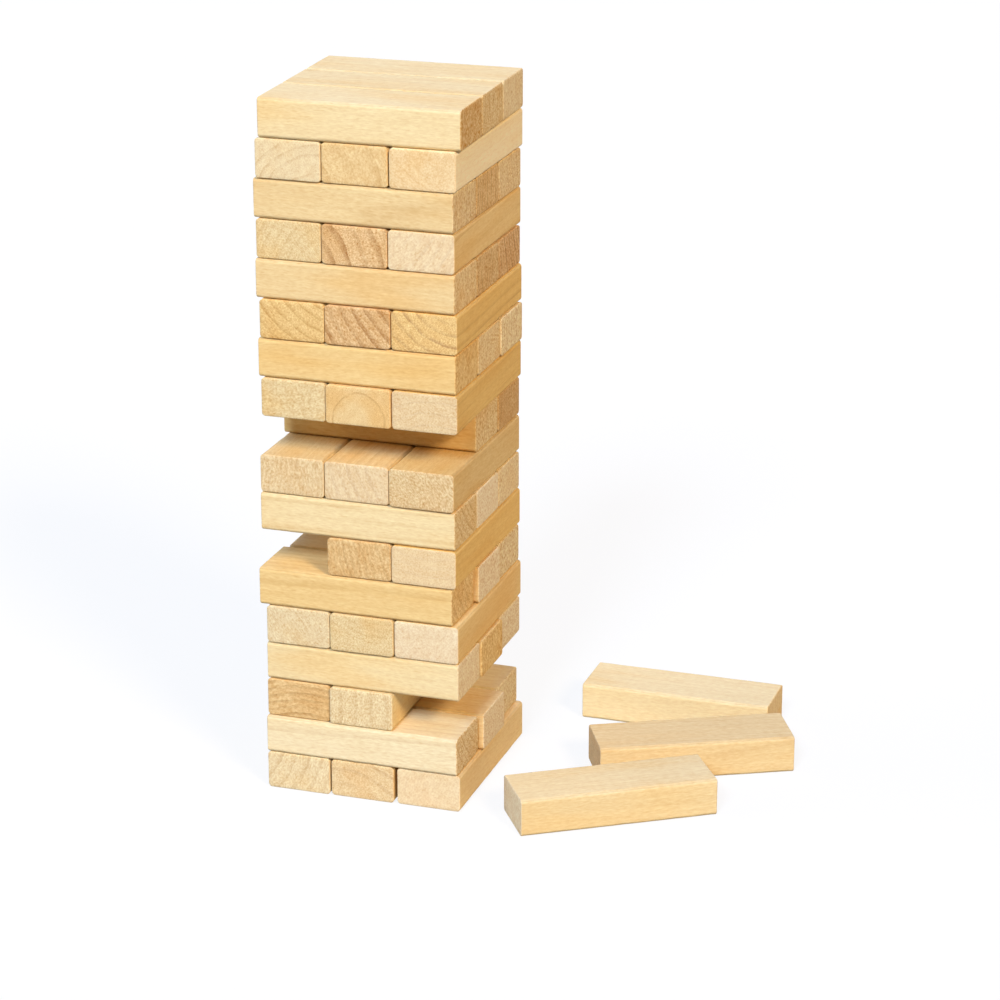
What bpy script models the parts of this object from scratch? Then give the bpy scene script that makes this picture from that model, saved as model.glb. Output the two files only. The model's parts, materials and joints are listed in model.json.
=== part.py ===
"""Tumbling tower: fifty-four alike wooden blocks, three to a level, each level laid across the one below.

Three blocks have been drawn from the stack and lie on the table at its right-hand side.
The origin is on the table, under the middle of the tower. The viewer stands on the -Y side.
"""

import math
from dataclasses import dataclass

import bpy
from mathutils import Matrix, Vector

MM = 0.001

# The places of a level's blocks, from one side to the other.
PLACES_CROSSWISE = {"left": -1, "middle": 0, "right": 1}
PLACES_LENGTHWISE = {"front": -1, "middle": 0, "back": 1}

# The stack. Blocks stand this far from the next one in their level and from the level below.
LEVEL_COUNT = 18
SIDE_GAP = 0.3 * MM
SEAT_GAP = 0.3 * MM

# One block. Its length is what the blocks of a level take up side by side, so that every level is square.
# Its long edges are planed round before it is sawn off, and the edges of its ends are only broken.
BLOCK_WIDTH = 24.7 * MM
BLOCK_HEIGHT = 14.4 * MM
BLOCK_LENGTH = len(PLACES_CROSSWISE) * (BLOCK_WIDTH + SIDE_GAP)
EDGE_RADIUS = 1.3 * MM
EDGE_SEGMENTS = 3
END_EASE = 0.4 * MM
END_SEGMENTS = 1
END_ANGLE = math.radians(60.0)

# Loose blocks. The front one is placed by its back left corner, the middle one by its front left corner,
# which lies behind the front block's back edge, and the back one by its front left corner.
LOOSE_FRONT_FROM_TOWER = 15.4 * MM
LOOSE_FRONT_BEFORE_CENTRE = 29.7 * MM
LOOSE_FRONT_TURN = math.radians(33.0)
LOOSE_MIDDLE_ALONG_FRONT = 40.8 * MM
LOOSE_MIDDLE_BEHIND_FRONT = 12.4 * MM
LOOSE_MIDDLE_LAG = math.radians(6.0)
LOOSE_BACK_FROM_TOWER = 18.0 * MM
LOOSE_BACK_BEHIND_MIDDLE = 2.5 * MM

# Bare wood, sanded and unvarnished.
WOOD_ROUGHNESS = 0.65

QUARTER_TURN = math.radians(90.0)

# Blocks that players have drawn out, each leaving a slot.
DRAWN = ("level_03_right", "level_07_left", "level_10_front")


@dataclass(frozen=True)
class Knock:
    """How far a whole level has been knocked out of line: a shift to the right, one to the back and a turn."""

    right: float = 0.0
    back: float = 0.0
    turn: float = 0.0


LEVEL_KNOCKS = {
    5: Knock(right=0.4 * MM, turn=math.radians(0.3)),
    8: Knock(right=-0.5 * MM, back=-0.3 * MM),
    9: Knock(right=-0.4 * MM, turn=math.radians(-0.3)),
    11: Knock(right=0.5 * MM, back=-0.2 * MM, turn=math.radians(0.4)),
    13: Knock(right=0.5 * MM, turn=math.radians(0.3)),
    14: Knock(right=-0.4 * MM),
    15: Knock(right=-0.2 * MM, back=0.3 * MM),
    16: Knock(right=-0.4 * MM, turn=math.radians(-0.4)),
    17: Knock(right=0.3 * MM),
    18: Knock(right=1.2 * MM, turn=math.radians(1.2)),
}

# Single blocks that fingers have slid along their own length: to the right where the level lies lengthwise,
# towards the viewer where it lies crosswise.
BLOCK_SLIDES = {
    "level_01_left": 0.3 * MM,
    "level_01_right": -0.3 * MM,
    "level_02_middle": 1.8 * MM,
    "level_02_back": -1.4 * MM,
    "level_03_left": -0.4 * MM,
    "level_03_middle": 0.5 * MM,
    "level_04_front": 0.4 * MM,
    "level_04_middle": 1.1 * MM,
    "level_04_back": -0.3 * MM,
    "level_05_middle": 0.4 * MM,
    "level_06_front": -1.8 * MM,
    "level_06_back": -0.7 * MM,
    "level_07_right": 0.4 * MM,
    "level_09_right": 0.5 * MM,
    "level_10_middle": -1.0 * MM,
    "level_10_back": -0.6 * MM,
    "level_11_middle": 0.7 * MM,
    "level_11_right": 0.3 * MM,
    "level_12_back": 0.5 * MM,
    "level_13_middle": 0.3 * MM,
    "level_15_left": -0.3 * MM,
    "level_17_middle": -0.3 * MM,
}

# Blocks at a side of their level that have drifted off their neighbour, beyond the usual gap.
BLOCK_DRIFTS = {
    "level_01_left": 0.3 * MM,
    "level_01_right": 1.0 * MM,
    "level_02_front": 1.0 * MM,
    "level_06_front": 0.4 * MM,
    "level_12_front": 0.3 * MM,
    "level_17_right": 0.3 * MM,
}

# Wood tones of the sawn stock, as linear colours, and the blocks that differ from the usual one.
WOOD_TONES = {
    "wood_honey": (0.82, 0.60, 0.31),
    "wood_straw": (0.84, 0.66, 0.37),
    "wood_pale": (0.85, 0.70, 0.45),
    "wood_amber": (0.80, 0.56, 0.25),
    "wood_gold": (0.80, 0.52, 0.19),
    "wood_rosy": (0.70, 0.44, 0.22),
    "wood_biscuit": (0.72, 0.49, 0.24),
}
USUAL_TONE = "wood_honey"
BLOCK_TONES = {
    "wood_straw": (
        "level_02_back", "level_03_middle", "level_04_front", "level_04_back", "level_05_middle",
        "level_06_back", "level_08_front", "level_08_back", "level_11_left", "level_12_back",
        "level_15_left", "level_18_front", "level_18_middle", "level_18_back", "loose_front", "loose_back",
    ),
    "wood_pale": (
        "level_01_left", "level_02_front", "level_05_left", "level_08_middle", "level_17_left", "level_17_right",
    ),
    "wood_amber": (
        "level_04_middle", "level_05_right", "level_06_front", "level_09_right", "level_10_middle",
        "level_12_front", "level_13_left", "level_15_right",
    ),
    "wood_gold": ("level_07_right", "level_11_right", "level_13_right"),
    "wood_rosy": ("level_13_middle", "level_14_back", "level_15_middle"),
    "wood_biscuit": ("level_03_left", "level_07_middle", "level_10_back", "level_14_middle", "level_16_middle"),
}


def clear_scene():
    """Remove every object of the scene."""
    for item in list(bpy.data.objects):
        bpy.data.objects.remove(item, do_unlink=True)


def make_collection(name):
    """Make a collection in the scene."""
    collection = bpy.data.collections.new(name)
    bpy.context.scene.collection.children.link(collection)
    return collection


def make_wood(name, colour):
    """Make a bare, sanded wood material of one tone."""
    wood = bpy.data.materials.new(name)
    wood.use_nodes = True
    shader = wood.node_tree.nodes["Principled BSDF"]
    shader.inputs["Base Color"].default_value = (*colour, 1.0)
    shader.inputs["Roughness"].default_value = WOOD_ROUGHNESS
    shader.inputs["Metallic"].default_value = 0.0
    return wood


def make_block_mesh():
    """Make the square-edged blank that every block shares, centred on its origin with its length along X."""
    bpy.ops.mesh.primitive_cube_add(size=1.0)
    blank = bpy.context.object
    blank.scale = (BLOCK_LENGTH, BLOCK_WIDTH, BLOCK_HEIGHT)
    bpy.ops.object.transform_apply(location=False, rotation=False, scale=True)
    mesh = blank.data
    mesh.name = "block"
    mesh.shade_smooth()
    mark_long_edges(mesh)
    bpy.data.objects.remove(blank, do_unlink=True)
    return mesh


def mark_long_edges(mesh):
    """Give full bevel weight to the four edges that run along X."""
    weights = mesh.attributes.new("bevel_weight_edge", "FLOAT", "EDGE")
    for edge in mesh.edges:
        start, end = (mesh.vertices[index].co for index in edge.vertices)
        weights.data[edge.index].value = 1.0 if abs(start.x - end.x) > BLOCK_LENGTH / 2 else 0.0


def tone_of(name):
    """Return the name of the wood tone that a block was sawn from."""
    for tone, blocks in BLOCK_TONES.items():
        if name in blocks:
            return tone
    return USUAL_TONE


def add_block(name, mesh, woods, collection, parent, location, turn=0.0):
    """Add one block with eased edges, placed in its parent's frame by the centre of the block."""
    block = bpy.data.objects.new(name, mesh)
    collection.objects.link(block)
    block.parent = parent
    block.location = location
    block.rotation_euler.z = turn
    planed = block.modifiers.new("planed_edges", "BEVEL")
    planed.width = EDGE_RADIUS
    planed.segments = EDGE_SEGMENTS
    planed.limit_method = "WEIGHT"
    planed.harden_normals = True
    eased = block.modifiers.new("eased_ends", "BEVEL")
    eased.width = END_EASE
    eased.segments = END_SEGMENTS
    eased.limit_method = "ANGLE"
    eased.angle_limit = END_ANGLE
    eased.harden_normals = True
    block.material_slots[0].link = "OBJECT"
    block.material_slots[0].material = woods[tone_of(name)]
    return block


def add_empty(name, collection, location, turn=0.0):
    """Add an empty that carries the blocks of one group."""
    empty = bpy.data.objects.new(name, None)
    collection.objects.link(empty)
    empty.location = location
    empty.rotation_euler.z = turn
    return empty


def build_level(number, mesh, woods, collection):
    """Lay one level of up to three blocks on the level below, odd levels crosswise and even ones lengthwise."""
    crosswise = number % 2 == 1
    places = PLACES_CROSSWISE if crosswise else PLACES_LENGTHWISE
    knock = LEVEL_KNOCKS.get(number, Knock())
    seat = (number - 1) * (BLOCK_HEIGHT + SEAT_GAP)
    turn = knock.turn - (QUARTER_TURN if crosswise else 0.0)
    label = f"level_{number:02d}"
    level = add_empty(label, collection, (knock.right, knock.back, seat), turn)
    for word, place in places.items():
        name = f"{label}_{word}"
        if name in DRAWN:
            continue
        slide = BLOCK_SLIDES.get(name, 0.0)
        across = place * (BLOCK_WIDTH + SIDE_GAP + BLOCK_DRIFTS.get(name, 0.0))
        add_block(name, mesh, woods, collection, level, (slide, across, BLOCK_HEIGHT / 2))


def build_loose_blocks(mesh, woods, collection):
    """Lay the drawn blocks on the table in a fan, each clear of the tower and of the block before it."""
    length_step = Vector((BLOCK_LENGTH / 2, 0.0))
    width_step = Vector((0.0, BLOCK_WIDTH / 2))
    tower_side = BLOCK_LENGTH / 2

    front_turn = Matrix.Rotation(LOOSE_FRONT_TURN, 2)
    front_corner = Vector((LOOSE_FRONT_FROM_TOWER, -LOOSE_FRONT_BEFORE_CENTRE))
    front_centre = front_corner + front_turn @ (length_step - width_step)

    middle_angle = LOOSE_FRONT_TURN - LOOSE_MIDDLE_LAG
    middle_turn = Matrix.Rotation(middle_angle, 2)
    middle_step = Vector((LOOSE_MIDDLE_ALONG_FRONT, LOOSE_MIDDLE_BEHIND_FRONT))
    middle_corner = front_corner + front_turn @ middle_step
    middle_centre = middle_corner + middle_turn @ (length_step + width_step)

    middle_rear = middle_centre + middle_turn @ (length_step + width_step)
    back_corner = Vector((LOOSE_BACK_FROM_TOWER, middle_rear.y + LOOSE_BACK_BEHIND_MIDDLE))
    back_centre = back_corner + length_step + width_step

    table = add_empty("loose_blocks", collection, (tower_side, 0.0, 0.0))
    fan = (
        ("loose_front", front_centre, LOOSE_FRONT_TURN),
        ("loose_middle", middle_centre, middle_angle),
        ("loose_back", back_centre, 0.0),
    )
    for name, centre, turn in fan:
        add_block(name, mesh, woods, collection, table, (centre.x, centre.y, BLOCK_HEIGHT / 2), turn)


def main():
    """Build the tower and the loose blocks."""
    clear_scene()
    collection = make_collection("tumbling_tower")
    woods = {name: make_wood(name, colour) for name, colour in WOOD_TONES.items()}
    mesh = make_block_mesh()
    mesh.materials.append(woods[USUAL_TONE])
    for number in range(1, LEVEL_COUNT + 1):
        build_level(number, mesh, woods, collection)
    build_loose_blocks(mesh, woods, collection)


main()
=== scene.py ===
"""Looks of a tumbling tower: sanded wooden blocks in crossed levels, with a few lying loose beside it.

Each block is the same eased oblong, sawn from its own place in a log, so its growth rings, fibre and tone are
its own. Lengths are in metres, apart from the figure of the wood, which is in millimetres.
"""

import json
import logging
import math
import random
from collections.abc import Mapping, Sequence
from dataclasses import dataclass, field
from enum import Enum
from typing import Any, ClassVar

import bpy
import numpy as np
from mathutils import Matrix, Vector

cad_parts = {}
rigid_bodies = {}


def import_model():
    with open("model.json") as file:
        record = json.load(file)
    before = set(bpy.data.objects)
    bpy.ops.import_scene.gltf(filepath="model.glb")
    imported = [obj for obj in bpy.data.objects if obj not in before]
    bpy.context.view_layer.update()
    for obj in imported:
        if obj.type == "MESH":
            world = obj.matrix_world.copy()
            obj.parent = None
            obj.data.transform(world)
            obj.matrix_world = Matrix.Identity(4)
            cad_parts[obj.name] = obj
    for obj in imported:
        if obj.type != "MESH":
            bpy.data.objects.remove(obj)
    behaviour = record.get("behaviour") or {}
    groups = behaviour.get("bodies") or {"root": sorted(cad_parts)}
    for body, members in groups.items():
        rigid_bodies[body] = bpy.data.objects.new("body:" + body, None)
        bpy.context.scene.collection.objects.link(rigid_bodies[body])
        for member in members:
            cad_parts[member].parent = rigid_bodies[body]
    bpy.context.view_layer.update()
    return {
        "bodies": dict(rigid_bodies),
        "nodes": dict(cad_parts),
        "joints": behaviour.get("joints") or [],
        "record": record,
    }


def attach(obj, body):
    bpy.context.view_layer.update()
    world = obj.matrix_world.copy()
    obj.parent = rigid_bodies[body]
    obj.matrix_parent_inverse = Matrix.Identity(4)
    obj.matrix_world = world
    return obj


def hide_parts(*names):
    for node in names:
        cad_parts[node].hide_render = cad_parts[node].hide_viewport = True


LOG = logging.getLogger("tumbling_tower")

MM = 0.001

Colour = tuple[float, float, float]
Triple = tuple[float, float, float]
Span = tuple[float, float]

WHITE: Colour = (1.0, 1.0, 1.0)


class Wire:
    """An output socket of a node, on which Python arithmetic adds Math and Vector Math nodes."""

    def __init__(self, bench: "Bench", socket: bpy.types.NodeSocket) -> None:
        """Hold one socket of a tree that is being built."""
        self.bench = bench
        self.socket = socket

    @property
    def is_vector(self) -> bool:
        """Tell whether the socket carries a vector or a colour."""
        return self.socket.type in {"VECTOR", "RGBA"}

    def __add__(self, other: "Operand") -> "Wire":
        """Add a wire, a number or a triple."""
        return self.bench.calculate("ADD", self, other)

    def __radd__(self, other: "Operand") -> "Wire":
        """Add this wire to a number or a triple."""
        return self.bench.calculate("ADD", other, self)

    def __sub__(self, other: "Operand") -> "Wire":
        """Take away a wire, a number or a triple."""
        return self.bench.calculate("SUBTRACT", self, other)

    def __rsub__(self, other: "Operand") -> "Wire":
        """Take this wire away from a number or a triple."""
        return self.bench.calculate("SUBTRACT", other, self)

    def __mul__(self, other: "Operand") -> "Wire":
        """Multiply by a wire, a number or a triple."""
        return self.bench.calculate("MULTIPLY", self, other)

    def __rmul__(self, other: "Operand") -> "Wire":
        """Multiply a number or a triple by this wire."""
        return self.bench.calculate("MULTIPLY", other, self)

    def __truediv__(self, other: "Operand") -> "Wire":
        """Divide by a wire, a number or a triple."""
        return self.bench.calculate("DIVIDE", self, other)

    def __rtruediv__(self, other: "Operand") -> "Wire":
        """Divide a number or a triple by this wire."""
        return self.bench.calculate("DIVIDE", other, self)

    def __abs__(self) -> "Wire":
        """Drop the sign."""
        return self.bench.calculate("ABSOLUTE", self)

    def at_least(self, other: "Operand") -> "Wire":
        """Take the larger of this and another."""
        return self.bench.calculate("MAXIMUM", self, other)

    def at_most(self, other: "Operand") -> "Wire":
        """Take the smaller of this and another."""
        return self.bench.calculate("MINIMUM", self, other)

    def floor(self) -> "Wire":
        """Round down to a whole number."""
        return self.bench.calculate("FLOOR", self)

    def length(self) -> "Wire":
        """Measure a vector."""
        return self.bench.make("ShaderNodeVectorMath", {"operation": "LENGTH"}, {0: self}, "Value")

    def smooth(self, low: "Operand", high: "Operand") -> "Wire":
        """Rise smoothly from 0 at the low value to 1 at the high one."""
        inputs = {"Value": self, "From Min": low, "From Max": high}
        return self.bench.make("ShaderNodeMapRange", {"interpolation_type": "SMOOTHSTEP"}, inputs)

    def parts(self) -> tuple["Wire", "Wire", "Wire"]:
        """Split a vector into its three numbers."""
        node = self.bench.make("ShaderNodeSeparateXYZ", {}, {0: self}).socket.node
        return tuple(Wire(self.bench, socket) for socket in node.outputs)


Operand = Wire | float | Sequence[float]


class Bench:
    """A node tree under construction."""

    def __init__(self, tree: bpy.types.NodeTree) -> None:
        """Start from an empty tree."""
        self.tree = tree
        tree.nodes.clear()

    @staticmethod
    def find(sockets: Sequence[bpy.types.NodeSocket], key: str | int) -> bpy.types.NodeSocket:
        """Find a socket in use by its number, identifier or name.

        Args:
            sockets: a node's inputs or its outputs.
            key: the number, the identifier or the name.

        Returns:
            The socket.
        """
        if isinstance(key, int):
            return sockets[key]
        return next(s for s in sockets if s.enabled and key in (s.identifier, s.name))

    def make(
        self,
        kind: str,
        settings: Mapping[str, Any] | None = None,
        inputs: Mapping[str | int, Any] | None = None,
        output: str | int = 0,
    ) -> Wire | None:
        """Add a node of any kind.

        Args:
            kind: the node's type.
            settings: the node's own properties, which are set first.
            inputs: for each socket a wire to link, or a value to set.
            output: which output to hand back.

        Returns:
            The chosen output as a wire, or None where the node has no outputs.
        """
        node = self.tree.nodes.new(kind)
        for name, value in (settings or {}).items():
            setattr(node, name, value)
        for key, value in (inputs or {}).items():
            socket = self.find(node.inputs, key)
            if isinstance(value, Wire):
                self.tree.links.new(value.socket, socket)
            else:
                self.fill(socket, value)
        return Wire(self, self.find(node.outputs, output)) if node.outputs else None

    @staticmethod
    def fill(socket: bpy.types.NodeSocket, value: Any) -> None:
        """Set a socket's own value, spreading a number over a vector and completing a colour.

        Args:
            socket: the input to set.
            value: a number, a triple or whatever the socket holds.
        """
        if socket.type == "VECTOR" and isinstance(value, (int, float)):
            value = (value, value, value)
        if socket.type == "RGBA" and len(value) == 3:
            value = (*value, 1.0)
        socket.default_value = value

    def calculate(self, operation: str, *operands: Operand) -> Wire:
        """Add a Math node, or a Vector Math node where an operand is a vector, a colour or a triple.

        Args:
            operation: the node's operation.
            operands: what goes into its sockets, in order.

        Returns:
            The result.
        """
        vector = any(
            operand.is_vector if isinstance(operand, Wire) else not isinstance(operand, (int, float))
            for operand in operands
        )
        kind = "ShaderNodeVectorMath" if vector else "ShaderNodeMath"
        return self.make(kind, {"operation": operation}, dict(enumerate(operands)))

    def attribute(self, name: str, output: str) -> Wire:
        """Read an attribute of the mesh, as a number from its Fac output or as a vector."""
        return self.make("ShaderNodeAttribute", {"attribute_name": name}, {}, output)

    def noise(self, place: Wire, detail: float, seed: Wire | float) -> Wire:
        """Add a cloud noise that averages one half.

        Args:
            place: where to read it, in units of its largest clouds.
            detail: how many finer layers lie on the first.
            seed: which of many alike noises it is.

        Returns:
            A number from 0 to 1.
        """
        inputs = {"Vector": place, "W": seed, "Scale": 1.0, "Detail": detail}
        return self.make("ShaderNodeTexNoise", {"noise_dimensions": "4D"}, inputs)

    def join(self, *numbers: Wire | float) -> Wire:
        """Make a vector of three numbers."""
        return self.make("ShaderNodeCombineXYZ", {}, dict(enumerate(numbers)))

    def blend(self, share: Wire | float, first: Wire | Colour, second: Wire | Colour) -> Wire:
        """Mix two colours.

        Args:
            share: how much of the second one.
            first: the colour at 0.
            second: the colour at 1.

        Returns:
            The mixed colour.
        """
        inputs = {"Factor_Float": share, "A_Color": first, "B_Color": second}
        return self.make("ShaderNodeMix", {"data_type": "RGBA"}, inputs, "Result_Color")


@dataclass(frozen=True)
class WoodTone:
    """The colours of one stock of sawn wood, as linear values.

    Attributes:
        spring: the pale wood that grows first in a year.
        summer: the darker wood that ends the year's ring.
        blush: the tint of the broad clouds that pass through the wood.
    """

    spring: Colour
    summer: Colour
    blush: Colour


class Tone(Enum):
    """The stocks that the blocks were sawn from, by the slot of the record that holds each."""

    wood_honey = WoodTone(spring=(0.84, 0.63, 0.33), summer=(0.62, 0.37, 0.14), blush=(0.82, 0.55, 0.24))
    wood_straw = WoodTone(spring=(0.85, 0.68, 0.39), summer=(0.66, 0.44, 0.19), blush=(0.84, 0.62, 0.31))
    wood_pale = WoodTone(spring=(0.86, 0.72, 0.465), summer=(0.68, 0.48, 0.25), blush=(0.85, 0.67, 0.39))
    wood_amber = WoodTone(spring=(0.82, 0.585, 0.265), summer=(0.58, 0.33, 0.105), blush=(0.79, 0.51, 0.195))
    wood_gold = WoodTone(spring=(0.83, 0.55, 0.19), summer=(0.56, 0.30, 0.08), blush=(0.80, 0.49, 0.15))
    wood_rosy = WoodTone(spring=(0.79, 0.545, 0.285), summer=(0.46, 0.235, 0.085), blush=(0.73, 0.46, 0.21))
    wood_biscuit = WoodTone(spring=(0.76, 0.535, 0.265), summer=(0.5, 0.295, 0.115), blush=(0.72, 0.47, 0.21))


@dataclass(frozen=True)
class Noise:
    """One of the noises that figure the wood.

    Attributes:
        fineness: how many of its clouds there are to a unit of place, in three directions.
        seed: which of many alike noises it is.
        detail: how many finer layers lie on the first.
        span: the values between which it rises from 0 to 1, or None for the noise as it is.
        mean: the value that leaves the wood as light as it is.
        on_faces: how much lighter a higher value makes the long faces.
        on_ends: how much lighter it makes the ends.
    """

    fineness: Triple
    seed: float = 0.0
    detail: float = 2.0
    span: Span | None = None
    mean: float = 0.5
    on_faces: float = 0.0
    on_ends: float = 0.0

    def read(self, bench: Bench, place: Wire) -> Wire:
        """Read the noise at a place, as a number from 0 to 1."""
        value = bench.noise(place * self.fineness, self.detail, self.seed)
        return value.smooth(*self.span) if self.span else value

    def mark(self, value: Wire, ends: Wire) -> Wire:
        """Tell how much lighter a value of the noise makes the wood, or darker where it is below 0."""
        return (value - self.mean) * (self.on_faces + (self.on_ends - self.on_faces) * ends)


@dataclass(frozen=True)
class SandedWood:
    """Bare wood, sawn and sanded but not varnished. Sizes are in millimetres along, across and up the grain.

    The rays, streaks and grit follow the rings, so their places are the distance from the pith, the angle
    round it and the way along it.

    Attributes:
        tone: the stock.
        stray: how the growth rings stray from their circles.
        wander: how far they stray.
        patch: where the rings are bold and where they are faint.
        faintest: how much is left of a ring where it is faintest.
        ring_break: over what width a ring's darkest wood breaks off into the next ring.
        face_rings: how strongly the rings show on the long faces, next to the ends.
        clouds: where the wood takes on its stock's blush.
        mottle: broad lighter and darker places.
        rays: short marks that run outwards from the pith.
        streaks: lines along the grain.
        grain: the short, fine lines of the long faces.
        fibre: the fibres of the wood.
        grit: the speckle of the sawn ends.
        dots: small dark pores.
        cast_step: how much lighter a cast of 1 makes a block.
        end_cast_step: how much darker an end cast of -1 makes its ends.
        worn_shade: how much darker worn edges are.
        end_tint: how the sawn ends differ in colour from the long faces.
        chalk: the colour that dry, pale ends tend to.
        warmth: how much a darker speck loses of red, green and blue, next to its loss of light.
        roughness: the mean roughness.
        grit_roughness: how much the grit changes it.
        dot_roughness: how much rougher the pores are.
        end_roughness: how much rougher the ends are.
        edge_polish: how much smoother worn edges are.
        fibre_height: how far the fibres stand out, next to the other marks.
        grit_height: how far the grit stands out.
        dot_depth: how deep the pores are.
        ring_depth: how deep the summer wood lies.
        relief: the height of all these marks, in metres.
        relief_strength: how much of that height shows.
        shine: the strength of the surface reflection.
    """

    tone: Tone
    stray: Noise = Noise((0.012, 0.09, 0.09))
    wander: float = 3.0
    patch: Noise = Noise((0.03, 0.22, 0.22), seed=11.0, span=(0.32, 0.58))
    faintest: float = 0.35
    ring_break: float = 0.25
    face_rings: float = 0.50
    clouds: Noise = Noise((0.014, 0.07, 0.07), span=(0.42, 0.68))
    mottle: Noise = Noise((0.04, 0.30, 0.30), seed=7.0, on_faces=0.07, on_ends=0.27)
    rays: Noise = Noise((0.22, 60.0, 0.45), seed=9.0, detail=1.0, on_faces=0.12, on_ends=0.12)
    streaks: Noise = Noise((0.9, 8.0, 0.02), seed=17.0, on_faces=0.08, on_ends=0.22)
    grain: Noise = Noise((0.42, 2.0, 2.0), seed=3.0, on_faces=0.40, on_ends=0.10)
    fibre: Noise = Noise((0.04, 1.0, 1.0), detail=3.0, on_faces=0.20, on_ends=0.12)
    grit: Noise = Noise((1.6, 54.0, 0.30), seed=5.0, on_faces=0.08, on_ends=0.96)
    dots: Noise = Noise(
        (0.35, 1.9, 1.9), seed=13.0, span=(0.54, 0.74), mean=0.2, on_faces=-0.06, on_ends=-0.20
    )
    cast_step: float = 0.06
    end_cast_step: float = 0.16
    # worn_shade: how much painted shade darkens the rounded long edges that face upwards, dimming the lamps'     highlight there and darkening the seams between levels.
    worn_shade: float = 0.20
    end_tint: Colour = (0.938, 0.90, 0.857)
    chalk: Colour = (0.88, 0.76, 0.56)
    warmth: Colour = (0.60, 1.08, 1.65)
    roughness: float = 0.66
    grit_roughness: float = 0.15
    dot_roughness: float = 0.10
    end_roughness: float = 0.06
    # edge_polish: how much smoother the rounded long edges that face upwards are.
    edge_polish: float = 0.08
    fibre_height: float = 0.5
    grit_height: float = 0.4
    dot_depth: float = 0.3
    ring_depth: float = 0.2
    relief: float = 0.12 * MM
    relief_strength: float = 0.3
    shine: float = 0.12

    def make(self) -> bpy.types.Material:
        """Make the material from the figure that each block carries.

        Returns:
            The material, named for its slot.
        """
        material = bpy.data.materials.new(self.tone.name)
        material.use_nodes = True
        bench = Bench(material.node_tree)
        place = bench.attribute("log_place", "Vector")
        spacing, boldness, band = bench.attribute("figure", "Vector").parts()
        cast, end_cast, fleck = bench.attribute("sawing", "Vector").parts()
        ends = bench.attribute("end_grain", "Fac")
        # The rounded long edges that face upwards: shade is painted on them, and they are a little smoother.
        edges = bench.attribute("edge_shade_and_polish", "Fac")

        radius = self.radius(bench, place)
        rings = self.rings(bench, place, radius / spacing, spacing, band)
        rings = rings * boldness * (self.face_rings + (1.0 - self.face_rings) * ends)
        round_pith = bench.join(radius, bench.attribute("ring_angle", "Fac"), place.parts()[0])
        fibre = self.fibre.read(bench, place)
        grit = self.grit.read(bench, round_pith)
        dots = self.dots.read(bench, place)

        tone = self.tone.value
        colour = bench.blend(self.clouds.read(bench, place), tone.spring, tone.blush)
        colour = bench.blend(rings, colour, tone.summer)
        colour = bench.blend(end_cast.at_least(0.0) * ends, colour, self.chalk)
        specks = self.fibre.mark(fibre, ends)
        for noise in (self.mottle, self.grain):
            specks = specks + noise.mark(noise.read(bench, place), ends)
        for noise in (self.rays, self.streaks):
            specks = specks + noise.mark(noise.read(bench, round_pith), ends)
        specks = specks + (self.grit.mark(grit, ends) + self.dots.mark(dots, ends)) * fleck
        specks = specks + end_cast.at_most(0.0) * ends * self.end_cast_step
        # Painted shade: the rounded long edges that face upwards are darkened, against the lamps' highlight
        # there and into the seams between levels.
        light = 1.0 + cast * self.cast_step - edges * self.worn_shade
        colour = colour * (specks * self.warmth + light)
        colour = bench.blend(ends, colour, colour * self.end_tint)

        roughness = self.roughness + (grit - self.grit.mean) * self.grit_roughness + dots * self.dot_roughness
        roughness = roughness + ends * self.end_roughness - edges * self.edge_polish
        height = fibre * self.fibre_height + grit * self.grit_height
        height = height - dots * self.dot_depth - rings * self.ring_depth
        relief = {"Strength": self.relief_strength, "Distance": self.relief, "Height": height}
        surface = {
            "Base Color": colour,
            "Roughness": roughness,
            "Normal": bench.make("ShaderNodeBump", {}, relief),
            "Specular IOR Level": self.shine,
        }
        shader = bench.make("ShaderNodeBsdfPrincipled", {}, surface)
        bench.make("ShaderNodeOutputMaterial", {}, {"Surface": shader})
        return material

    def radius(self, bench: Bench, place: Wire) -> Wire:
        """Measure the distance from the pith, as the straying rings have it.

        Args:
            bench: the material's tree.
            place: the place in the log, from the pith.

        Returns:
            The distance.
        """
        stray = (self.stray.read(bench, place) - self.stray.mean) * self.wander
        return (place * (0.0, 1.0, 1.0)).length() + stray

    def rings(self, bench: Bench, place: Wire, years: Wire, spacing: Wire, band: Wire) -> Wire:
        """Draw the year's rings round the log's pith, each darkening slowly, breaking off sharply and patchy.

        Args:
            bench: the material's tree.
            place: the place in the log, from the pith.
            years: how many rings lie between the pith and that place.
            spacing: the distance from ring to ring.
            band: the width of the darker wood in a ring.

        Returns:
            How much summer wood there is, from 0 to 1.
        """
        ring = years.floor()
        ahead = (ring + 1.0 - years) * spacing
        late = (1.0 - ahead.smooth(self.ring_break, band)) * ahead.smooth(0.0, self.ring_break)
        year = bench.make("ShaderNodeTexWhiteNoise", {"noise_dimensions": "1D"}, {"W": ring}, "Value")
        for share in (year, self.patch.read(bench, place)):
            late = late * (self.faintest + (1.0 - self.faintest) * share)
        return late


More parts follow.
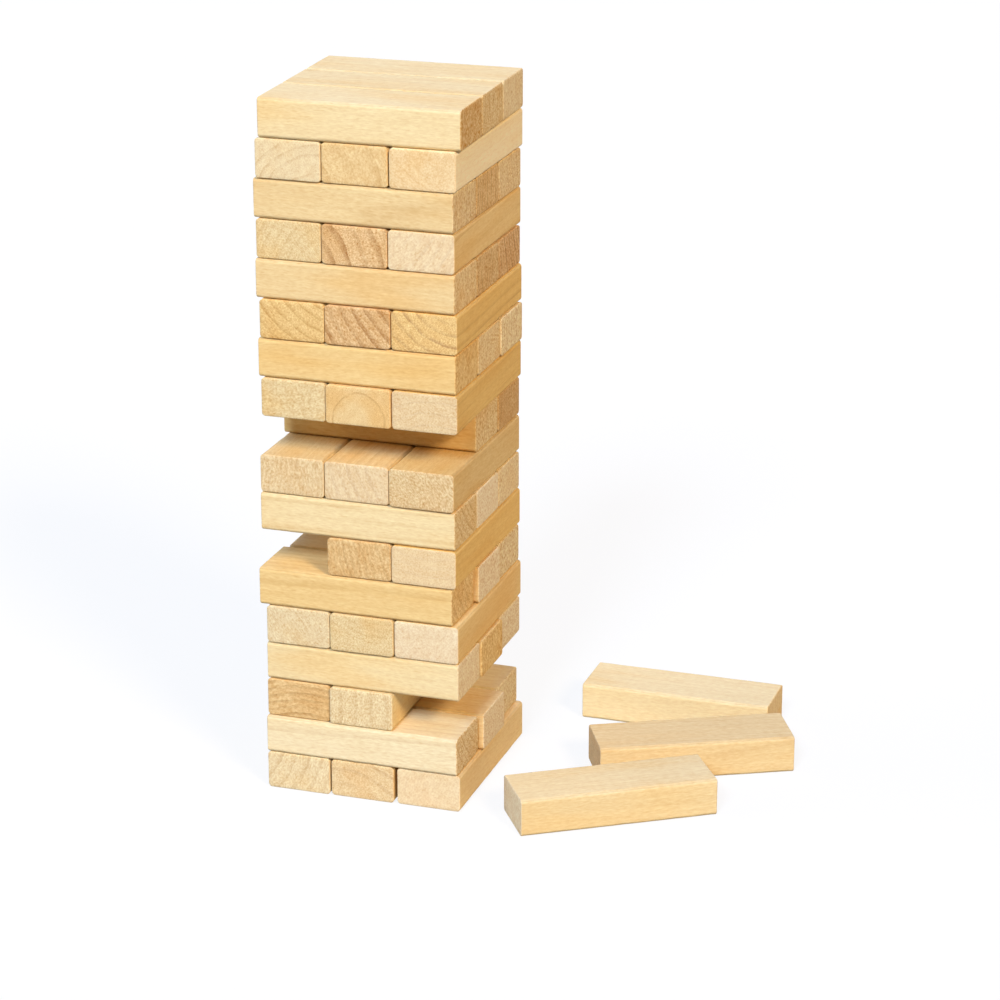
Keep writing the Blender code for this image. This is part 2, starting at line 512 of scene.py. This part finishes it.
@dataclass(frozen=True)
class Cut:
    """Where in its log a block was sawn, in millimetres, as its seen end shows it.

    Attributes:
        pith: how far right and up of the end's middle the pith of the log lies.
        spacing: the distance from ring to ring.
        boldness: how strongly the rings show.
        cast: how much lighter or darker the whole block is, where 1 is a little.
        end_cast: how much paler, or browner where it is below 0, its ends are than its long faces.
        fleck: how strongly it is flecked with grit and small dark pores.
        band: the width of the darker wood in a ring.
    """

    pith: tuple[float, float]
    spacing: float
    boldness: float
    cast: float
    end_cast: float
    fleck: float = 1.0
    band: float = 1.8

    @classmethod
    def by_chance(cls, rng: random.Random) -> "Cut":
        """Saw a block from a place that nobody chose, with the pith off to one side.

        Args:
            rng: the block's own source of chance.

        Returns:
            The cut.
        """
        side = rng.choice((-1.0, 1.0))
        pith = (side * rng.uniform(30.0, 70.0), rng.uniform(-20.0, 20.0))
        spacing = rng.uniform(2.4, 4.6)
        boldness = rng.uniform(0.35, 0.60)
        cast = rng.uniform(-0.5, 0.5)
        end_cast = rng.uniform(-0.4, 0.4)
        return cls(pith, spacing, boldness, cast, end_cast)


# Blocks whose place in the log shows, from the top level down and then on the table.
NOTED_CUTS = {
    "level_18_front": Cut((52.0, 6.0), 3.0, 0.45, 0.5, -1.9, 1.8),
    "level_18_middle": Cut((-46.0, 8.0), 2.4, 0.85, 0.3, -0.7, 1.8),
    "level_18_back": Cut((60.0, -4.0), 4.2, 0.40, 0.2, 0.3, 1.4),
    "level_17_left": Cut((10.0, -18.0), 3.4, 0.55, 0.3, 0.0, 0.7),
    "level_17_middle": Cut((-40.0, -22.0), 9.0, 0.60, 0.3, 0.0, 0.9, 5.0),
    "level_17_right": Cut((18.0, 30.0), 4.0, 0.10, 2.6, -1.1, 0.6),
    "level_16_front": Cut((50.0, -6.0), 2.4, 0.75, -0.3, 0.2, 2.0),
    "level_16_middle": Cut((-42.0, 4.0), 2.4, 0.80, 0.6, -0.3, 2.0),
    "level_16_back": Cut((48.0, 10.0), 2.6, 0.85, 0.0, 0.2, 2.0),
    "level_15_left": Cut((22.0, -14.0), 3.4, 0.40, -0.5, 0.0, 1.0),
    "level_15_middle": Cut((-24.0, -10.0), 6.0, 0.95, 0.0, 0.0, 1.7, 3.4),
    "level_15_right": Cut((-40.0, 30.0), 3.6, 0.70, 0.5, 0.65, 0.8),
    "level_14_front": Cut((54.0, 4.0), 3.2, 0.40, 0.0, 0.1, 2.0),
    "level_14_middle": Cut((-44.0, -8.0), 1.9, 0.75, 0.0, -0.05, 2.2),
    "level_14_back": Cut((44.0, 14.0), 2.6, 0.90, -0.5, -0.5, 2.2),
    "level_13_left": Cut((25.0, 30.0), 4.0, 0.80, 0.2, 0.0, 1.3, 2.0),
    "level_13_middle": Cut((40.0, 28.0), 4.3, 0.95, -0.3, -0.4, 1.6, 2.6),
    "level_13_right": Cut((14.0, 24.0), 4.0, 1.15, -0.2, 0.18, 1.5, 2.0),
    "level_12_front": Cut((-56.0, 12.0), 3.4, 0.35, 0.5, -0.1, 1.8),
    "level_12_middle": Cut((48.0, -10.0), 3.8, 0.40, 0.0, 0.1, 2.0),
    "level_12_back": Cut((-50.0, 2.0), 2.8, 0.80, 0.4, 0.2, 2.0),
    "level_11_left": Cut((-6.0, 50.0), 3.2, 0.35, -0.9, 0.0, 1.0),
    "level_11_middle": Cut((0.5, -5.2), 10.6, 0.90, -0.1, 0.0, 1.2, 1.1),
    "level_11_right": Cut((5.0, -34.0), 4.4, 0.60, -0.8, 0.6, 0.8, 1.0),
    "level_10_middle": Cut((54.0, 12.0), 3.4, 0.35, -0.8, 0.2, 2.2),
    "level_10_back": Cut((-48.0, 6.0), 2.0, 0.65, -0.6, -0.8, 1.8),
    "level_09_left": Cut((-60.0, 5.0), 2.0, 0.45, -0.8, 0.3, 1.0),
    "level_09_middle": Cut((50.0, 18.0), 3.5, 0.80, -0.4, 0.5, 0.8, 2.4),
    "level_09_right": Cut((-45.0, -30.0), 2.6, 0.30, -1.5, 0.35, 1.4),
    "level_08_front": Cut((36.0, 36.0), 3.2, 0.85, 0.2, -0.5, 1.6),
    "level_08_middle": Cut((-56.0, 6.0), 4.4, 0.40, 0.6, 0.7, 1.4),
    "level_08_back": Cut((36.0, -36.0), 3.0, 0.65, 0.0, 0.25, 1.6),
    "level_07_middle": Cut((50.0, 15.0), 2.2, 0.55, 0.2, 0.0, 1.4),
    "level_07_right": Cut((2.0, 32.0), 3.4, 0.35, -0.4, 0.6, 0.7),
    "level_06_front": Cut((36.0, 30.0), 2.8, 0.75, 0.0, 0.1, 1.8),
    "level_06_middle": Cut((-52.0, -8.0), 4.0, 0.30, 0.0, 0.7, 1.5),
    "level_06_back": Cut((40.0, -34.0), 3.0, 0.70, -0.8, 0.25, 2.0),
    "level_05_left": Cut((40.0, 30.0), 2.1, 0.30, -0.9, 0.0, 0.9),
    "level_05_middle": Cut((6.0, 26.0), 2.4, 0.35, -0.9, 0.0, 1.1),
    "level_05_right": Cut((-30.0, 20.0), 3.0, 0.25, -0.1, 0.8, 0.7),
    "level_04_front": Cut((52.0, 4.0), 3.8, 0.40, 0.0, 0.6, 1.4),
    "level_04_middle": Cut((-54.0, 10.0), 3.0, 0.40, -0.7, 0.0, 2.0),
    "level_04_back": Cut((46.0, -8.0), 2.8, 0.80, -0.8, 0.7, 1.8),
    "level_03_left": Cut((4.0, -60.0), 2.8, 1.00, 0.4, 0.0, 1.1),
    "level_03_middle": Cut((-50.0, 0.0), 6.0, 0.70, -0.7, 0.2, 1.2, 3.0),
    "level_02_front": Cut((34.0, 30.0), 3.0, 0.80, 0.0, -0.8, 1.8),
    "level_02_middle": Cut((-40.0, 26.0), 4.4, 0.45, -0.2, 0.8, 1.6),
    "level_02_back": Cut((56.0, 6.0), 3.4, 0.45, -1.2, 0.3, 1.6),
    "level_01_left": Cut((-48.0, 22.0), 5.0, 0.85, -0.5, 0.0, 0.9, 2.4),
    "level_01_middle": Cut((-10.0, -28.0), 5.5, 0.85, -0.5, 0.3, 0.9, 2.4),
    "level_01_right": Cut((36.0, -22.0), 3.2, 0.25, 0.3, 0.6, 0.6),
    "loose_front": Cut((-50.0, 16.0), 3.6, 0.35, -0.4, 0.8, 0.7),
    "loose_middle": Cut((-44.0, -14.0), 4.2, 0.40, -0.5, 0.3, 0.8),
    "loose_back": Cut((-56.0, 8.0), 3.6, 0.30, 0.9, -0.2, 0.7),
}


@dataclass(frozen=True)
class Seat:
    """How a block lies in the frame.

    Attributes:
        centre: its middle.
        half: half its length, width and height.
        turn: the way that its seen end faces, as an angle about the upright.
        edge_radius: how far its long edges are rounded.
        end_ease: how far the edges of its ends are broken.
    """

    centre: Triple
    half: Triple
    turn: float
    edge_radius: float
    end_ease: float

    # How far from a flat face a corner may lie and still count as on it.
    FLUSH: ClassVar[float] = 0.01 * MM

    @classmethod
    def of_node(cls, node: bpy.types.Object, viewer: Sequence[float]) -> "Seat":
        """Measure a block of the frame.

        Args:
            node: the block's object in the frame.
            viewer: the level direction towards the viewer, which tells the seen end from the far one.

        Returns:
            Its seat.
        """
        points = np.array([vertex.co for vertex in node.data.vertices])
        middle = (points.min(axis=0) + points.max(axis=0)) / 2.0
        level = points[:, :2] - middle[:2]
        along = np.linalg.eigh(level.T @ level)[1][:, -1]
        along = along if along @ np.array(viewer) > 0.0 else -along
        across = np.array((-along[1], along[0]))
        local = np.column_stack((level @ along, level @ across, points[:, 2] - middle[2]))
        half = local.max(axis=0)
        top = local[local[:, 2] > half[2] - cls.FLUSH]
        end = local[local[:, 0] > half[0] - cls.FLUSH]
        radius, ease = (float(half[1] - np.abs(face[:, 1]).max()) for face in (top, end))
        turn = math.atan2(along[1], along[0])
        return cls(tuple(map(float, middle)), tuple(map(float, half)), turn, radius, ease)


@dataclass
class EasedBlock:
    """The geometry nodes that make a block: an oblong with round long edges and just broken ends, a bit worn.

    Attributes:
        steps: the number of faces along, across and up a block.
        round_steps: how many of them, at each side, go round the edge.
        rim: the width of the flat faces next to a rounded edge.
        wear: how much more an edge is worn away in places, as a share of its radius.
        wear_grain: the size of those places.
        wear_detail: how many finer layers of wear lie on the first.
        wear_span: the values of the noise between which an edge goes from unworn to worn.
        ease_turn: the turn towards an end, in radians, within which wear shrinks from the round to the ease.
        end_span: how far a point faces along the block where its end grain begins and where it is full.
        edge_fade: how far a point of an edge faces upwards where the painted shade on it is full, and along
        the block where it is gone.
        tree: the node tree, once it is built.
        sockets: the identifier of each input, by its name.
    """

    steps: tuple[int, int, int] = (44, 22, 16)
    round_steps: int = 4
    rim: float = 0.15 * MM
    wear: float = 0.24
    wear_grain: float = 6.0 * MM
    wear_detail: float = 3.0
    wear_span: Span = (0.40, 0.75)
    ease_turn: float = 0.125
    end_span: Span = (0.30, 0.65)
    edge_fade: float = 0.5
    tree: bpy.types.NodeTree | None = None
    sockets: dict[str, str] = field(default_factory=dict)

    INPUTS: ClassVar[dict[str, str]] = {
        "Half Size": "NodeSocketVector",
        "Edge Radius": "NodeSocketFloat",
        "End Ease": "NodeSocketFloat",
        "Rim": "NodeSocketFloat",
        "Wear": "NodeSocketFloat",
        "Seed": "NodeSocketFloat",
        "Pith": "NodeSocketVector",
        "Lean": "NodeSocketVector",
        "Figure": "NodeSocketVector",
        "Sawing": "NodeSocketVector",
        "Centre": "NodeSocketVector",
        "Turn": "NodeSocketVector",
        "Wood": "NodeSocketMaterial",
    }

    def build(self) -> None:
        """Build the tree and note its inputs."""
        self.tree = bpy.data.node_groups.new("eased_block", "GeometryNodeTree")
        face = self.tree.interface
        for name, kind in self.INPUTS.items():
            self.sockets[name] = face.new_socket(name, in_out="INPUT", socket_type=kind).identifier
        face.new_socket("Block", in_out="OUTPUT", socket_type="NodeSocketGeometry")
        bench = Bench(self.tree)
        given = {name: bench.make("NodeGroupInput", {}, {}, name) for name in self.INPUTS}
        counts = {f"Vertices {axis}": count + 1 for axis, count in zip("XYZ", self.steps)}
        block = bench.make("GeometryNodeMeshCube", {}, {"Size": 2.0, **counts}, "Mesh")
        place, normal, edge = self.rounded(bench, given)
        along, _, upright = normal.parts()
        block = self.store(bench, block, "end_grain", abs(along).smooth(*self.end_span), "FLOAT")
        # Only the rounded long edges that face upwards, away from the ends, carry the painted shade and the
        # smoother finish.
        off_ends = (1.0 - abs(along) / self.edge_fade).at_least(0.0)
        on_top = (upright / self.edge_fade).at_least(0.0).at_most(1.0)
        block = self.store(bench, block, "edge_shade_and_polish", edge * off_ends * on_top, "FLOAT")
        block = bench.make("GeometryNodeSetPosition", {}, {"Geometry": block, "Position": place})
        spot = bench.make("GeometryNodeInputPosition") / MM
        log_place = spot - given["Pith"] + given["Lean"] * spot.parts()[0]
        block = self.store(bench, block, "log_place", log_place, "FLOAT_VECTOR")
        block = self.store(bench, block, "ring_angle", self.angle(bench, given["Pith"], log_place), "FLOAT")
        block = self.store(bench, block, "figure", given["Figure"], "FLOAT_VECTOR")
        block = self.store(bench, block, "sawing", given["Sawing"], "FLOAT_VECTOR")
        block = bench.make("GeometryNodeSetShadeSmooth", {}, {"Geometry": block})
        moves = {"Geometry": block, "Translation": given["Centre"], "Rotation": given["Turn"]}
        block = bench.make("GeometryNodeTransform", {}, moves)
        block = bench.make("GeometryNodeRealizeInstances", {}, {"Geometry": block})
        block = bench.make("GeometryNodeSetMaterial", {}, {"Geometry": block, "Material": given["Wood"]})
        bench.make("NodeGroupOutput", {}, {"Block": block})

    def rounded(self, bench: Bench, given: Mapping[str, Wire]) -> tuple[Wire, Wire, Wire]:
        """Bend a cube of side 2 into the block: flat faces, a narrow rim and a round at each edge.

        Args:
            bench: the tree.
            given: the tree's inputs.

        Returns:
            Each point's place, its outward direction and how near it is to the middle of an edge.
        """
        flat_ends = tuple(1.0 - 2.0 * self.round_steps / count for count in self.steps)
        inner_ends = tuple(1.0 - 2.0 * (self.round_steps + 1) / count for count in self.steps)
        cube = bench.make("GeometryNodeInputPosition")
        side = bench.calculate("SIGN", cube)
        reach = abs(cube)
        inner = (reach / inner_ends).at_most(1.0)
        rim = self.share(reach, inner_ends, flat_ends)
        bend = self.share(reach, flat_ends, (1.0, 1.0, 1.0))
        lean = bench.calculate("TANGENT", bend * (math.pi / 4.0))
        lean_along, lean_across, lean_up = lean.parts()
        slope = bench.calculate("ARCTAN2", lean_along, lean_across.at_least(lean_up))
        to_side = bench.calculate("NORMALIZE", side * lean * (0.0, 1.0, 1.0))
        to_end = side * (1.0, 0.0, 0.0)
        sine = bench.calculate("SINE", slope)
        cosine = bench.calculate("COSINE", slope)
        radius, ease, rim_width = given["Edge Radius"], given["End Ease"], given["Rim"]
        flat = given["Half Size"] - bench.join(ease, radius, radius) - rim_width
        place = side * (inner * flat + rim * rim_width)
        place = place + to_side * (radius - ease + ease * cosine) + to_end * (ease * sine)
        normal = to_side * cosine + to_end * sine
        along, across, upright = abs(normal).parts()
        steepest = along.at_least(across).at_least(upright)
        edge = ((1.0 - steepest) / (1.0 - 1.0 / math.sqrt(2.0))).at_most(1.0)
        local_radius = radius - (radius - ease) * (slope / self.ease_turn).at_most(1.0)
        worn = bench.noise(place / self.wear_grain, self.wear_detail, given["Seed"]).smooth(*self.wear_span)
        return place - normal * (worn * edge * given["Wear"] * local_radius), normal, edge

    @staticmethod
    def angle(bench: Bench, pith: Wire, log_place: Wire) -> Wire:
        """Measure the angle round the pith from the block's middle.

        Args:
            bench: the tree.
            pith: the pith's place, from the block's middle.
            log_place: the place in the log, from the pith.

        Returns:
            The angle, in radians.
        """
        middle = pith * (0.0, -1.0, -1.0)
        across = bench.calculate("CROSS_PRODUCT", middle, log_place).parts()[0]
        settings = {"operation": "DOT_PRODUCT"}
        towards = bench.make("ShaderNodeVectorMath", settings, {0: middle, 1: log_place}, "Value")
        return bench.calculate("ARCTAN2", across, towards)

    @staticmethod
    def share(reach: Wire, low: Triple, high: Triple) -> Wire:
        """Tell how far each number of a vector has come from a low value to a high one, from 0 to 1."""
        span = tuple(last - first for first, last in zip(low, high))
        return ((reach - low) / span).at_least(0.0).at_most(1.0)

    @staticmethod
    def store(bench: Bench, block: Wire, name: str, value: Wire, kind: str) -> Wire:
        """Keep a field as a named attribute of the points.

        Args:
            bench: the tree.
            block: the geometry so far.
            name: the attribute's name.
            value: the field.
            kind: its data type.

        Returns:
            The geometry with the attribute.
        """
        inputs = {"Geometry": block, "Name": name, "Value": value}
        return bench.make("GeometryNodeStoreNamedAttribute", {"data_type": kind, "domain": "POINT"}, inputs)

    def mesh(self, name: str, values: Mapping[str, Any]) -> bpy.types.Mesh:
        """Run the tree once and keep what it makes as a plain mesh.

        Args:
            name: the mesh's name.
            values: the tree's inputs.

        Returns:
            The mesh, in its place.
        """
        holder = bpy.data.objects.new("holder", bpy.data.meshes.new("holder"))
        bpy.context.scene.collection.objects.link(holder)
        modifier = holder.modifiers.new("eased_block", "NODES")
        modifier.node_group = self.tree
        for key, value in values.items():
            modifier[self.sockets[key]] = value
        graph = bpy.context.evaluated_depsgraph_get()
        mesh = bpy.data.meshes.new_from_object(holder.evaluated_get(graph), depsgraph=graph)
        mesh.name = name
        holder.modifiers.remove(modifier)
        bpy.data.objects.remove(holder)
        return mesh


@dataclass
class Block:
    """One block of the game.

    Attributes:
        node: its name in the frame.
        seat: how it lies.
        tone: the stock that it was sawn from.
        wear_seeds: how many patterns of wear there are to draw from.
        log_reach: how far up or down the log it may have been sawn, in millimetres.
        lean_reach: how far its grain may run off its length, as a slope.
    """

    node: str
    seat: Seat
    tone: Tone
    wear_seeds: float = 100.0
    log_reach: float = 400.0
    lean_reach: float = 0.03

    def figure(self) -> dict[str, Any]:
        """Draw what is left to chance in the block and look up what was noted.

        Returns:
            The inputs of the nodes that tell its wear and its wood.
        """
        rng = random.Random(self.node)
        chance = Cut.by_chance(rng)
        cut = NOTED_CUTS.get(self.node, chance)
        return {
            "Seed": rng.uniform(0.0, self.wear_seeds),
            "Pith": (rng.uniform(-self.log_reach, self.log_reach), *cut.pith),
            "Lean": (0.0, *(rng.uniform(-self.lean_reach, self.lean_reach) for _ in range(2))),
            "Figure": (cut.spacing, cut.boldness, cut.band),
            "Sawing": (cut.cast, cut.end_cast, cut.fleck),
        }

    def build(self, shape: EasedBlock, wood: bpy.types.Material) -> bpy.types.Object:
        """Make the block's mesh with its wood and let it stand for the block of the frame.

        Args:
            shape: the nodes that make a block.
            wood: the material of its stock.

        Returns:
            The block's object.
        """
        values = {
            "Half Size": self.seat.half,
            "Edge Radius": self.seat.edge_radius,
            "End Ease": self.seat.end_ease,
            "Rim": shape.rim,
            "Wear": shape.wear,
            **self.figure(),
            "Centre": self.seat.centre,
            "Turn": (0.0, 0.0, self.seat.turn),
            "Wood": wood,
        }
        piece = bpy.data.objects.new(f"block_{self.node}", shape.mesh(f"block_{self.node}", values))
        bpy.context.scene.collection.objects.link(piece)
        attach(piece, self.node)
        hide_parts(self.node)
        return piece


@dataclass
class Stack:
    """A group of blocks that are built together.

    Attributes:
        label: the group's name, which its blocks' names start with.
        blocks: its blocks.
    """

    label: str
    blocks: list[Block] = field(default_factory=list)

    def build(self, shape: EasedBlock, woods: Mapping[Tone, bpy.types.Material]) -> None:
        """Build and dress the group's blocks, and report each.

        Args:
            shape: the nodes that make a block.
            woods: the material of each stock.
        """
        for block in self.blocks:
            piece = block.build(shape, woods[block.tone])
            faces = len(piece.data.polygons)
            LOG.info("%s: %s in %s, %d faces", self.label, piece.name, block.tone.name, faces)


@dataclass(frozen=True)
class Lamp:
    """A far, broad lamp.

    Attributes:
        name: its name.
        towards: the direction from the tower to it.
        strength: the light that falls on a surface facing it.
        spread: how broad it looks from the tower, in degrees.
        colour: its colour.
    """

    name: str
    towards: Triple
    strength: float
    spread: float
    colour: Colour

    def hang(self) -> None:
        """Hang the lamp in the scene."""
        light = bpy.data.lights.new(self.name, "SUN")
        light.energy = self.strength
        light.angle = math.radians(self.spread)
        light.color = self.colour
        holder = bpy.data.objects.new(self.name, light)
        holder.rotation_euler = Vector(self.towards).to_track_quat("Z", "Y").to_euler()
        bpy.context.scene.collection.objects.link(holder)


@dataclass
class Studio:
    """A plain white table under soft light, seen from the front and a little from the right.

    Attributes:
        aim: the point on the tower's middle line that the camera is set out from.
        azimuth: how far round to the right the camera stands, in degrees.
        elevation: how far above the level it stands, in degrees.
        distance: how far away it stands.
        slide: how far it is moved to its right and upwards without turning.
        lens: its focal length, in millimetres.
        floor_reach: half the width of the table.
        floor_drop: how far the table lies under the lowest blocks.
        ambient: the strength of the light from all round.
        sky: the colour of that light.
        bounce: the colour that the table throws back on the blocks.
        shadow: how much of its shade the table keeps for the eye.
        lamps: the lamps round the table.
    """

    aim: Triple = (0.0, 0.0, 0.135)
    azimuth: float = 18.314
    elevation: float = 19.605
    distance: float = 1.21217
    slide: tuple[float, float] = (0.03951, -0.02742)
    lens: float = 117.95
    floor_reach: float = 30.0
    floor_drop: float = 0.1 * MM
    ambient: float = 0.05
    sky: Colour = (1.0, 0.70, 0.40)
    bounce: Colour = (0.36, 0.345, 0.30)
    shadow: float = 0.15
    lamps: tuple[Lamp, ...] = (
        Lamp("key", (0.0, -0.788, 0.616), 1.95, 14.0, (0.811, 1.0, 1.240)),
        Lamp("fill", (0.620, -0.520, 0.588), 2.455, 14.0, (1.0, 0.752, 0.453)),
        Lamp("overhead", (0.0, 0.0, 1.0), 0.30, 50.0, (0.30, 1.08, 3.12)),
        Lamp("left", (-0.85, -0.30, 0.43), 0.85, 30.0, (1.0, 0.92, 0.78)),
        Lamp("back", (-0.20, 0.95, 0.24), 0.75, 60.0, (0.90, 0.96, 1.10)),
    )

    @property
    def viewer(self) -> tuple[float, float]:
        """Give the level direction from the tower to the camera."""
        angle = math.radians(self.azimuth)
        return (math.sin(angle), -math.cos(angle))

    def build(self) -> None:
        """Set up the table, the light and the camera."""
        bpy.context.scene.view_settings.view_transform = "Standard"
        self.lay_table()
        self.light_round()
        for lamp in self.lamps:
            lamp.hang()
        self.place_camera()

    @staticmethod
    def seen(bench: Bench) -> Wire:
        """Tell whether a surface is looked at, straight or by reflection, and not just lighting another.

        Args:
            bench: the tree of the surface's material, or of the world.

        Returns:
            A number, which is 1 where it is looked at and 0 elsewhere.
        """
        looks = ("Is Camera Ray", "Is Glossy Ray", "Is Transmission Ray")
        straight, mirrored, through = (bench.make("ShaderNodeLightPath", {}, {}, look) for look in looks)
        return (straight + mirrored + through).at_most(1.0)

    def lay_table(self) -> None:
        """Lay the table, which looks white, keeps a soft shade and throws back a part of the light."""
        bpy.ops.mesh.primitive_plane_add(size=2.0 * self.floor_reach, location=(0.0, 0.0, -self.floor_drop))
        table = bpy.context.object
        table.name = "table"
        paint = bpy.data.materials.new("white_table")
        paint.use_nodes = True
        bench = Bench(paint.node_tree)
        seen = self.seen(bench)
        lit = bench.make("ShaderNodeBsdfDiffuse", {}, {"Color": bench.blend(seen, self.bounce, WHITE)})
        white = bench.make("ShaderNodeEmission", {}, {"Color": WHITE, "Strength": 1.0})
        mixed = bench.make("ShaderNodeMixShader", {}, {0: seen * (1.0 - self.shadow), 1: lit, 2: white})
        bench.make("ShaderNodeOutputMaterial", {}, {"Surface": mixed})
        table.data.materials.append(paint)

    def light_round(self) -> None:
        """Fill the room with even light, which looks white."""
        world = bpy.data.worlds.new("room")
        world.use_nodes = True
        bpy.context.scene.world = world
        bench = Bench(world.node_tree)
        seen = self.seen(bench)
        strength = self.ambient + seen * (1.0 - self.ambient)
        colour = bench.blend(seen, self.sky, WHITE)
        light = bench.make("ShaderNodeBackground", {}, {"Color": colour, "Strength": strength})
        bench.make("ShaderNodeOutputWorld", {}, {"Surface": light})

    def place_camera(self) -> None:
        """Stand the camera where the viewer is."""
        height = math.radians(self.elevation)
        level = Vector((*self.viewer, 0.0))
        back = level * math.cos(height) + Vector((0.0, 0.0, math.sin(height)))
        right = Vector((0.0, 0.0, 1.0)).cross(level)
        up = back.cross(right)
        data = bpy.data.cameras.new("camera")
        data.lens = self.lens
        camera = bpy.data.objects.new("camera", data)
        camera.location = Vector(self.aim) + back * self.distance + right * self.slide[0] + up * self.slide[1]
        camera.rotation_euler = back.to_track_quat("Z", "Y").to_euler()
        bpy.context.scene.collection.objects.link(camera)
        bpy.context.scene.camera = camera


@dataclass
class TumblingTower:
    """The whole game: the levels of the tower, from the table up, and the loose blocks.

    Attributes:
        stacks: its groups of blocks.
    """

    stacks: list[Stack] = field(default_factory=list)

    @classmethod
    def from_frame(cls, frame: Mapping[str, Any], viewer: Sequence[float]) -> "TumblingTower":
        """Sort the frame's blocks into levels and loose blocks.

        Args:
            frame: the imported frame.
            viewer: the level direction towards the viewer.

        Returns:
            The game, not yet built.
        """
        slots = {part["node"]: part["material_slot"] for part in frame["record"]["subparts"]}
        stacks: dict[str, Stack] = {}
        for node in sorted(frame["nodes"]):
            label = node.rsplit("_", 1)[0]
            block = Block(node, Seat.of_node(frame["nodes"][node], viewer), Tone[slots[node]])
            stacks.setdefault(label, Stack(label)).blocks.append(block)
        return cls(list(stacks.values()))

    def build(self) -> None:
        """Make the woods and the shape that all blocks share, and build every group."""
        shape = EasedBlock()
        shape.build()
        woods = {tone: SandedWood(tone).make() for tone in Tone}
        for stack in self.stacks:
            stack.build(shape, woods)


def main() -> None:
    """Build the studio and the game around the frame."""
    logging.basicConfig(level=logging.INFO, format="%(name)s: %(message)s")
    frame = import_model()
    studio = Studio()
    studio.build()
    TumblingTower.from_frame(frame, studio.viewer).build()


if __name__ == "__main__":
    main()
